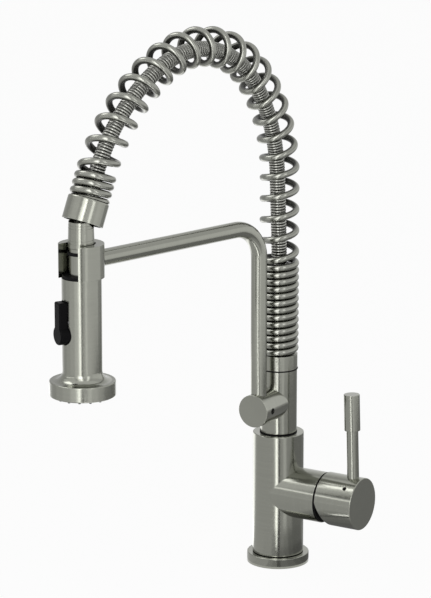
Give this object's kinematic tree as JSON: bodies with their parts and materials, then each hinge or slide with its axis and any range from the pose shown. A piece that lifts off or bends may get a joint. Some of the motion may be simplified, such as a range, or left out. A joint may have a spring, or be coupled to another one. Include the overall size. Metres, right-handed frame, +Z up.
{
  "type": "pull-out kitchen faucet",
  "caption": "Deck-mounted kitchen faucet with an open coil spring round its hose arch, a support arm that docks a pull-out spray head, and a single side lever.",
  "frame": {"origin": "centre of the base's underside on the deck, at the mouth of the central stud hole", "axes": "+Z up; the spout and its spray reach out along -Y; the lever's branch leaves the body at 12.7 degrees from +X towards +Y"},
  "size_m": [0.1294, 0.338, 0.5462],
  "materials": {
    "brushed_nickel": "brushed",
    "spring_wire": "satin",
    "ribbed_hose": "satin",
    "black_rubber": "matte",
    "black_plastic": "satin",
    "grey_plastic": "matte",
    "grey_rubber": "matte",
    "white_plastic": "matte",
    "plain_brass": "machined",
    "white_ceramic": "polished",
    "plain_steel": "plain"
  },
  "bodies": {
    "body": {"base_flange": "brushed_nickel", "deck_gasket": "black_rubber", "flange_seal": "black_rubber", "body_shell": "brushed_nickel", "inlet_block": "plain_brass", "supply_tubes": "plain_brass", "cartridge_body": "grey_plastic", "cartridge_seals": "black_rubber", "ceramic_disc_fixed": "white_ceramic", "cartridge_nut": "plain_brass", "valve_trim_ring": "black_rubber", "valve_dome": "brushed_nickel", "swivel_ring": "black_rubber", "column_lock_screw": "plain_steel"},
    "spout": {"swivel_column": "brushed_nickel", "column_o_rings": "black_rubber", "boss_screw": "plain_steel", "support_arm": "brushed_nickel", "dock_collar": "brushed_nickel", "column_seal": "black_rubber", "spring_seat": "brushed_nickel", "hose_fitting": "plain_brass", "hose": "ribbed_hose", "spring": "spring_wire", "spring_ferrule": "brushed_nickel", "hose_tail": "ribbed_hose"},
    "hose_end": {"neck_nut": "brushed_nickel", "neck_o_ring": "black_rubber", "neck_clip": "plain_steel"},
    "spray": {"dock_spool": "brushed_nickel", "dock_rings": "black_rubber", "spray_shell": "brushed_nickel", "spray_core": "white_plastic", "check_valve": "white_plastic", "spray_face": "grey_plastic", "spray_nozzles": "grey_rubber", "aerator": "grey_plastic", "face_seal": "black_rubber", "toggle_pin": "plain_steel"},
    "toggle": {"toggle": "black_plastic"},
    "plunger": {"diverter_plunger": "white_plastic"},
    "handle_carrier": {"cartridge_rotor": "grey_plastic", "stem_pin": "plain_steel"},
    "handle": {"cartridge_stem": "plain_steel", "handle_cap": "brushed_nickel", "handle_screw": "plain_steel", "lever_stem": "brushed_nickel", "lever_grip": "brushed_nickel"},
    "valve_disc": {"ceramic_disc_moving": "white_ceramic"}
  },
  "joints": [
    {"name": "spout_swivel", "type": "hinge", "parent": "body", "child": "spout", "pos_m": [0, 0, 0.1327], "axis": [0, 0, 1], "continuous": true},
    {"name": "spray_pull", "type": "slide", "parent": "spout", "child": "hose_end", "axis": [0, 0, -1], "range_m": [0, 0.15], "stiffness_N_per_m": 15, "springref_m": -0.6, "deforming": ["hose_tail"]},
    {"name": "spray_spin", "type": "hinge", "parent": "hose_end", "child": "spray", "pos_m": [0, -0.2614, 0.36], "axis": [0, 0, 1], "continuous": true},
    {"name": "toggle_rock", "type": "hinge", "parent": "spray", "child": "toggle", "pos_m": [-0.00486, -0.2768, 0.2934], "axis": [0.9537, -0.3007, 0], "range_deg": [0, 8]},
    {"name": "plunger_slide", "type": "slide", "parent": "spray", "child": "plunger", "axis": [0, 0, 1], "range_m": [0, 0.00128]},
    {"name": "handle_turn", "type": "hinge", "parent": "body", "child": "handle_carrier", "pos_m": [0.04556, 0.01027, 0.0732], "axis": [0.9755, 0.2198, 0], "range_deg": [-45, 45]},
    {"name": "handle_lift", "type": "hinge", "parent": "handle_carrier", "child": "handle", "pos_m": [0.04556, 0.01027, 0.0732], "axis": [-0.2198, 0.9755, 0], "range_deg": [0, 20]},
    {"name": "disc_slide", "type": "slide", "parent": "handle_carrier", "child": "valve_disc", "axis": [0, 0, 1], "range_m": [0, 0.0047]}
  ],
  "couplings": [
    {"joint": "toggle_rock", "follows": "plunger_slide", "rad_per_m": 109.08},
    {"joint": "disc_slide", "follows": "handle_lift", "m_per_rad": 0.01342}
  ]
}
